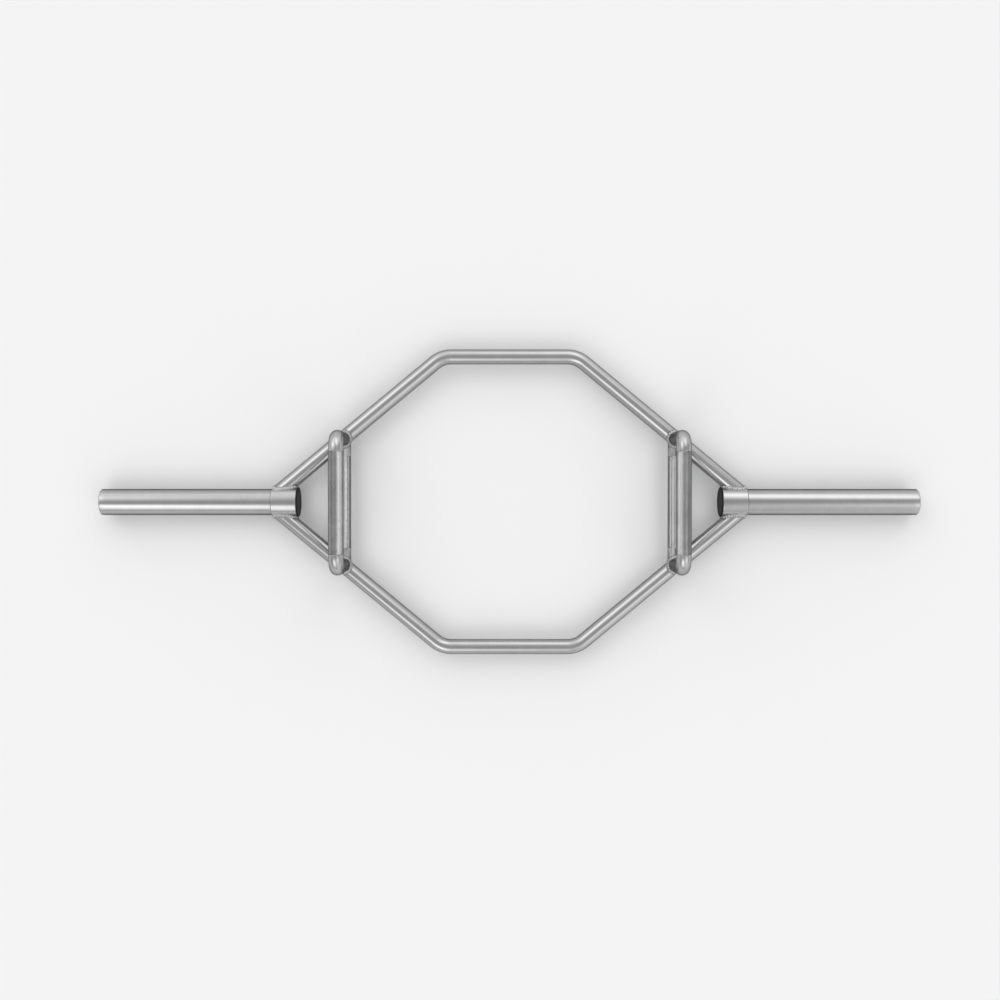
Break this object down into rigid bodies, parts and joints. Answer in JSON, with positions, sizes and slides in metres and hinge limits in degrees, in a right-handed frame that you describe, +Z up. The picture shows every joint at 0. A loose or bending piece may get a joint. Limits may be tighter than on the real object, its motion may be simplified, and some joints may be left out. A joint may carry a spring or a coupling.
{
  "type": "hex trap bar",
  "caption": "Flat six-sided frame of bent round bar with a straight plate sleeve at each end and knurled low and raised hand grips on both sides, lifted by a person standing inside it.",
  "frame": {"origin": "on the floor under the middle of the bar, level with the lowest line of the collars", "axes": "+X along the sleeves to the right, +Y from the front frame bar to the rear one, +Z up, the way the raised handles stand"},
  "size_m": [1.563, 0.5846, 0.1547],
  "materials": {
    "frame_steel": "satin plated round bar",
    "grip_steel": "satin plated bar with a knurled band",
    "collar_steel": "satin plated turned steel",
    "sleeve_steel": "satin plated turned tube",
    "cap_steel": "turned steel face",
    "weld_steel": "plated weld bead",
    "plug_plastic": "black moulded plastic"
  },
  "bodies": {
    "root": {"front_frame_bar": "frame_steel", "rear_frame_bar": "frame_steel", "left_low_handle": "grip_steel", "left_high_handle": "grip_steel", "left_collar": "collar_steel", "left_sleeve": "sleeve_steel", "left_sleeve_end_cap": "cap_steel", "left_inner_plug": "plug_plastic", "right_low_handle": "grip_steel", "right_high_handle": "grip_steel", "right_collar": "collar_steel", "right_sleeve": "sleeve_steel", "right_sleeve_end_cap": "cap_steel", "right_inner_plug": "plug_plastic", "left_front_collar_weld": "weld_steel", "left_front_low_handle_weld": "weld_steel", "left_front_foot_weld": "weld_steel", "left_rear_collar_weld": "weld_steel", "left_rear_low_handle_weld": "weld_steel", "left_rear_foot_weld": "weld_steel", "right_front_collar_weld": "weld_steel", "right_front_low_handle_weld": "weld_steel", "right_front_foot_weld": "weld_steel", "right_rear_collar_weld": "weld_steel", "right_rear_low_handle_weld": "weld_steel", "right_rear_foot_weld": "weld_steel"}
  },
  "joints": []
}
